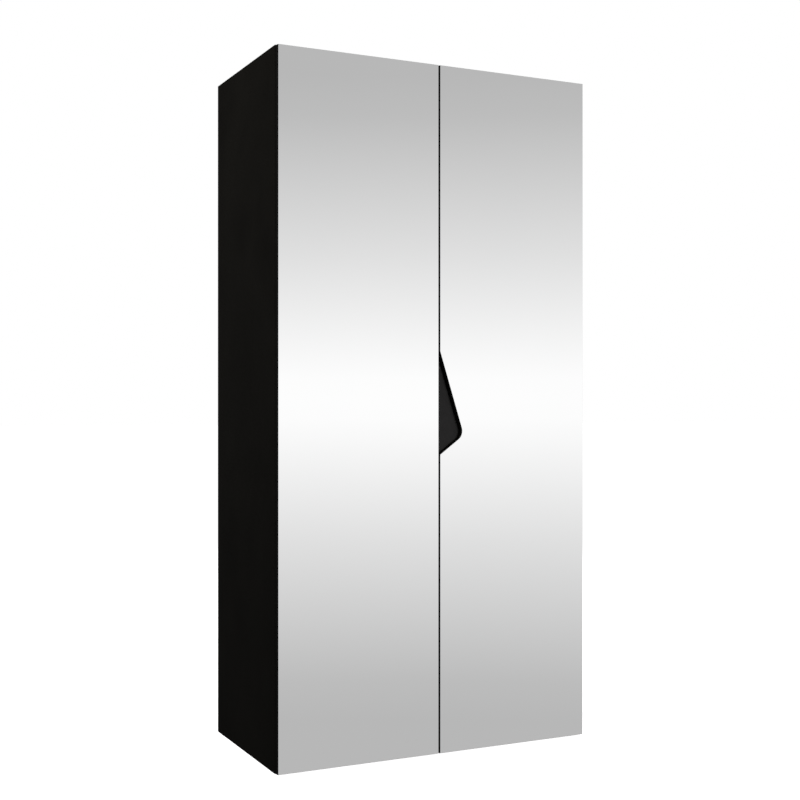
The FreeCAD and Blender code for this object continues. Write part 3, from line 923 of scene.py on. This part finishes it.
@dataclass
class GripShell:
    """The moulded shell behind the finger grip, with ribs on its back."""

    rounding: float = 0.0009
    rib: float = 0.0018
    rib_height: float = 0.003
    rib_places: tuple[float, ...] = (0.16, 0.32, 0.48, 0.64, 0.80)
    rib_inset: float = 0.004
    rib_sink: float = 0.0002
    rib_clear: float = 0.02
    rib_shortest: float = 0.012
    rib_draft: Triple = (0.92, 1.0, 0.6)
    point_share: float = 0.30

    def build(self) -> None:
        """Makes the shell and its ribs."""
        shell = Bench.copy_node("grip_shell", "grip_shell_moulding")
        Bench.soften(shell, self.rounding, 3)
        Bench.smooth(shell)
        Bench.hand_over(shell, "right_door", "grip_plastic", ("grip_shell",))
        self.build_ribs()

    def build_ribs(self) -> None:
        """Makes the stiffening ribs, each as long as the shell is wide there."""
        low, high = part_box("grip_shell")
        height = high.z - low.z
        ribs = []
        for share in self.rib_places:
            z = low.z + share * height
            reach = self.reach(share) * (high.x - low.x) - self.rib_clear
            start = Vector((low.x + self.rib_inset, high.y - self.rib_sink, z - self.rib / 2))
            right = low.x + max(reach, self.rib_shortest)
            end = Vector((right, high.y + self.rib_height, z + self.rib / 2))
            rib = Bench.block("rib", start, end)
            Bench.select_faces(rib, lambda face: face.normal.y > REARWARD)
            crest = Vector(((start.x + end.x) / 2, end.y, z))
            bpy.ops.transform.resize(value=self.rib_draft, center_override=crest)
            Bench.leave_edit()
            Bench.soften(rib, self.rounding / 3)
            ribs.append(rib)
        joined = Bench.join("grip_shell_ribs", ribs)
        Bench.smooth(joined)
        Bench.hand_over(joined, "right_door", "grip_plastic")

    def reach(self, share: float) -> float:
        """How far across the wedge reaches at a share of its height."""
        point = self.point_share
        return share / point if share < point else (1 - share) / (1 - point)


@dataclass
class HingeInnards:
    """What sits inside each concealed hinge: a torsion spring and a damper."""

    side: Side
    coil_radius: float = 0.0021
    wire_radius: float = 0.00042
    coil_length: float = 0.0088
    turns: int = 8
    wire_sides: int = 8
    turn_steps: int = 16
    spring_from_edge: float = 0.0226
    spring_behind: float = 0.0095
    damper_from_edge: tuple[float, float] = (0.0290, 0.0355)
    damper_behind: tuple[float, float] = (0.0012, 0.0070)
    damper_half: float = 0.0085
    damper_rounding: float = 0.0005
    sunk_margin: float = 0.0012
    sunk_depth: float = 0.0010
    hinges_apart: float = 0.05

    def heights(self) -> list[float]:
        """The height of each hinge, from the pins in its arm.

        Returns:
            The heights, lowest first.
        """
        node = frame["nodes"][self.side.word + "_hinge_arm_pins"]
        levels = sorted({round(v.co.z, 4) for v in node.data.vertices})
        groups: list[list[float]] = []
        for level in levels:
            if groups and level - groups[-1][-1] < self.hinges_apart:
                groups[-1].append(level)
            else:
                groups.append([level])
        return [(group[0] + group[-1]) / 2 for group in groups]

    def edge(self) -> float:
        """Where the leaf's outer edge lies along X."""
        low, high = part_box(self.side.word + "_door_edge_band")
        return high.x if self.side is Side.RIGHT else low.x

    def across(self, inward: float) -> float:
        """The X of a point some way in from the leaf's outer edge."""
        return self.edge() - self.side.value * inward

    def front(self) -> float:
        """The Y of the carcass's front edge."""
        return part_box("side_edge_bands")[0].y

    def build(self) -> None:
        """Makes the springs and the dampers."""
        levels = self.heights()
        rises = [level - levels[0] for level in levels[1:]]
        joined = Bench.repeat(self.spring(levels[0]), rises, self.side.word + "_hinge_springs")
        Bench.smooth(joined, 60.0)
        Bench.hand_over(joined, "carcass", "zinc_steel")
        joined = Bench.repeat(self.damper(levels[0]), rises, self.side.word + "_hinge_dampers")
        Bench.smooth(joined)
        Bench.hand_over(joined, self.side.word + "_door", "black_plastic")

    def spring(self, z: float) -> bpy.types.Object:
        """One closing spring, wound from a ring of wire.

        Args:
            z: the hinge's height.

        Returns:
            The spring.
        """
        x = self.across(self.spring_from_edge)
        y = self.front() + self.spring_behind
        Bench.clear()
        bpy.ops.mesh.primitive_circle_add(
            vertices=self.wire_sides,
            radius=self.wire_radius,
            location=(self.coil_radius, 0.0, 0.0),
            rotation=(math.pi / 2, 0.0, 0.0),
        )
        piece = bpy.context.object
        Bench.settle(piece)
        winding = piece.modifiers.new("winding", "SCREW")
        winding.axis = "Z"
        winding.angle = 2 * math.pi
        winding.iterations = self.turns
        winding.screw_offset = self.coil_length / self.turns
        winding.steps = self.turn_steps
        winding.render_steps = self.turn_steps
        winding.use_merge_vertices = True
        bpy.ops.object.modifier_apply(modifier=winding.name)
        bpy.ops.object.mode_set(mode="EDIT")
        bpy.ops.mesh.select_all(action="SELECT")
        bpy.ops.mesh.remove_doubles(threshold=MERGE)
        bpy.ops.mesh.fill_holes(sides=0)
        bpy.ops.mesh.select_all(action="SELECT")
        bpy.ops.mesh.normals_make_consistent(inside=False)
        bpy.ops.object.mode_set(mode="OBJECT")
        piece.location = (x, y, z - self.coil_length / 2)
        Bench.settle(piece)
        return piece

    def damper(self, z: float) -> bpy.types.Object:
        """One closing damper in the cup, a rounded block with a sunken rear face.

        Args:
            z: the hinge's height.

        Returns:
            The damper.
        """
        xs = sorted(self.across(inward) for inward in self.damper_from_edge)
        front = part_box(self.side.word + "_hinge_cups")[0].y
        low = Vector((xs[0], front + self.damper_behind[0], z - self.damper_half))
        high = Vector((xs[1], front + self.damper_behind[1], z + self.damper_half))
        body = Bench.block("damper", low, high)
        Bench.select_faces(body, lambda face: face.normal.y > REARWARD)
        bpy.ops.mesh.inset(thickness=self.sunk_margin, depth=0.0)
        inward = (0.0, -self.sunk_depth, 0.0)
        bpy.ops.mesh.extrude_region_move(TRANSFORM_OT_translate={"value": inward})
        Bench.leave_edit()
        Bench.soften(body, self.damper_rounding)
        return body


@dataclass
class Bumpers:
    """Domed soft stops at the free corners of a leaf."""

    side: Side
    dome: float = 0.0007
    dome_steps: int = 4

    def build(self) -> None:
        """Makes the domes in place of the plain discs."""
        node = self.side.word + "_door_bumpers"
        low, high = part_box(node)
        radius = (high.x - low.x) / 2
        x = (low.x + high.x) / 2
        y = (low.y + high.y) / 2
        foot = Vector((x, y, low.z + radius))
        dome = Bench.round_bar("bumper", foot, radius, high.y - low.y)
        Bench.select_faces(dome, lambda face: face.normal.y > REARWARD)
        bpy.ops.mesh.bevel(offset=self.dome, segments=self.dome_steps)
        Bench.leave_edit()
        rise = high.z - low.z - 2 * radius
        joined = Bench.repeat(dome, [rise], self.side.word + "_domed_bumpers")
        Bench.smooth(joined, 50.0)
        Bench.hand_over(joined, self.side.word + "_door", "bumper_silicone", (node,))


# ---- studio --------------------------------------------------------------


@dataclass
class Studio:
    """A white room with a soft horizon glow, a pale floor and soft lights."""

    glow: tuple[tuple[float, float], ...] = (
        (0.0, 1.0),
        (0.0157, 0.994),
        (0.033, 0.956),
        (0.1111, 0.754),
        (0.2166, 0.514),
        (0.2456, 0.484),
        (1.0, 0.45),
    )
    glow_height: float = 0.0055
    sky: float = 0.07
    ground: float = 0.01
    sky_span: Span = (-0.05, 0.30)
    rear_share: float = 0.72
    rear_span: Span = (-0.5, 0.0)
    floor_size: float = 120.0
    floor_tone: Colour = (0.82, 0.82, 0.82)
    floor_rough: float = 0.9
    floor_light: float = 1.0
    lamps: tuple[tuple[str, Triple, Triple, float, float], ...] = (
        ("left", (-2.6, -0.4, 2.5), (-0.5, 0.0, 2.1), 1.4, 40.0),
        ("front", (-0.6, -4.6, 1.9), (0.0, 0.0, 1.0), 2.4, 180.0),
        ("rear", (1.5, 3.6, 3.0), (0.0, 0.2, 1.0), 2.4, 110.0),
        ("right", (3.6, -0.4, 2.4), (0.4, 0.0, 1.0), 2.0, 60.0),
    )

    def build(self) -> None:
        """Makes the world, the floor and the lamps."""
        bpy.context.scene.view_settings.view_transform = "Standard"
        self.world()
        self.floor()
        for name, place, target, size, power in self.lamps:
            self.lamp(name, Vector(place), Vector(target), size, power)

    def world(self) -> None:
        """White to the eye, a horizon glow to polished faces, dim to matt ones."""
        world = bpy.data.worlds.new("studio")
        world.use_nodes = True
        bpy.context.scene.world = world
        tree = world.node_tree
        tree.nodes.clear()
        new = tree.nodes.new
        link = tree.links.new
        coordinate = new("ShaderNodeTexCoord")
        split = new("ShaderNodeSeparateXYZ")
        link(coordinate.outputs["Generated"], split.inputs["Vector"])
        height = new("ShaderNodeMath")
        height.operation = "SUBTRACT"
        height.inputs[1].default_value = self.glow_height
        link(split.outputs["Z"], height.inputs[0])
        away = new("ShaderNodeMath")
        away.operation = "ABSOLUTE"
        link(height.outputs[0], away.inputs[0])
        ramp = new("ShaderNodeValToRGB")
        while len(ramp.color_ramp.elements) < len(self.glow):
            ramp.color_ramp.elements.new(1.0)
        for element, (position, level) in zip(ramp.color_ramp.elements, self.glow):
            element.position = position
            element.color = (level, level, level, 1.0)
        link(away.outputs[0], ramp.inputs["Fac"])
        behind = new("ShaderNodeMapRange")
        behind.inputs["From Min"].default_value = self.rear_span[0]
        behind.inputs["From Max"].default_value = self.rear_span[1]
        behind.inputs["To Min"].default_value = 1.0
        behind.inputs["To Max"].default_value = self.rear_share
        link(split.outputs["Y"], behind.inputs["Value"])
        upper = new("ShaderNodeMapRange")
        upper.inputs["From Min"].default_value = self.sky_span[0]
        upper.inputs["From Max"].default_value = self.sky_span[1]
        upper.inputs["To Min"].default_value = self.ground
        upper.inputs["To Max"].default_value = self.sky
        link(split.outputs["Z"], upper.inputs["Value"])
        seen = new("ShaderNodeBackground")
        polished = new("ShaderNodeBackground")
        link(ramp.outputs["Color"], polished.inputs["Color"])
        link(behind.outputs["Result"], polished.inputs["Strength"])
        matt = new("ShaderNodeBackground")
        link(upper.outputs["Result"], matt.inputs["Strength"])
        for node in (seen, matt):
            node.inputs["Color"].default_value = (1.0, 1.0, 1.0, 1.0)
        path = new("ShaderNodeLightPath")
        first = new("ShaderNodeMixShader")
        link(path.outputs["Is Diffuse Ray"], first.inputs["Fac"])
        link(polished.outputs[0], first.inputs[1])
        link(matt.outputs[0], first.inputs[2])
        last = new("ShaderNodeMixShader")
        link(path.outputs["Is Camera Ray"], last.inputs["Fac"])
        link(first.outputs[0], last.inputs[1])
        link(seen.outputs[0], last.inputs[2])
        output = new("ShaderNodeOutputWorld")
        link(last.outputs[0], output.inputs["Surface"])

    def floor(self) -> None:
        """A plain pale floor, lit evenly so that it shows no shadow."""
        Bench.clear()
        bpy.ops.mesh.primitive_plane_add(size=self.floor_size, location=(0.0, 0.0, 0.0))
        floor = bpy.context.object
        floor.name = "studio_floor"
        floor.visible_glossy = False
        floor.visible_diffuse = False
        material = bpy.data.materials.new("pale_floor")
        material.use_nodes = True
        shader = material.node_tree.nodes["Principled BSDF"]
        shader.inputs["Base Color"].default_value = (*self.floor_tone, 1.0)
        shader.inputs["Roughness"].default_value = self.floor_rough
        shader.inputs["Specular IOR Level"].default_value = 0.0
        shader.inputs["Emission Color"].default_value = (1.0, 1.0, 1.0, 1.0)
        shader.inputs["Emission Strength"].default_value = self.floor_light
        floor.data.materials.append(material)

    @staticmethod
    def lamp(name: str, place: Vector, target: Vector, size: float, power: float) -> None:
        """One soft square lamp.

        Args:
            name: its name.
            place: where it hangs.
            target: what it points at.
            size: the length of its side.
            power: its power in watts.
        """
        data = bpy.data.lights.new(name, "AREA")
        data.shape = "SQUARE"
        data.size = size
        data.energy = power
        lamp = bpy.data.objects.new(name, data)
        bpy.context.scene.collection.objects.link(lamp)
        lamp.location = place
        lamp.rotation_euler = (target - place).to_track_quat("-Z", "Y").to_euler()
        lamp.visible_glossy = False
        lamp.visible_camera = False


@dataclass
class Viewpoint:
    """A level camera to the left of the leaves.

    Its place is measured from the lower front corner of the left-hand glass, at its outer edge.
    """

    turn: float = 25.904
    aside: float = 0.3336
    away: float = 3.4813
    above: float = 1.0132
    lens: float = 57.18
    rise: float = 0.00686
    sensor: float = 36.0

    def build(self) -> None:
        """Makes the camera."""
        data = bpy.data.cameras.new("camera")
        data.lens = self.lens
        data.sensor_width = self.sensor
        data.shift_y = self.rise
        camera = bpy.data.objects.new("camera", data)
        bpy.context.scene.collection.objects.link(camera)
        angle = math.radians(self.turn)
        right = Vector((math.cos(angle), -math.sin(angle), 0.0))
        ahead = Vector((math.sin(angle), math.cos(angle), 0.0))
        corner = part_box("left_door_mirror")[0]
        lift = Vector((0.0, 0.0, self.above))
        camera.location = corner + right * self.aside - ahead * self.away + lift
        camera.rotation_euler = (math.pi / 2, 0.0, -angle)
        bpy.context.scene.camera = camera


def main() -> None:
    """Builds the wardrobe's looks in order."""
    logging.basicConfig(level=logging.INFO, format="%(name)s: %(message)s")
    Viewpoint().build()
    Studio().build()
    LOG.info("%d nodes dressed", PAINT.dress_nodes())
    for side in Side:
        MirrorPane(side).build()
        Bumpers(side).build()
        HingeInnards(side).build()
    GripShell().build()
    SoftenedParts(BANDS, rounding=0.0003).build()
    SoftenedParts(FITTINGS, rounding=0.0004).build()


if __name__ == "__main__":
    main()
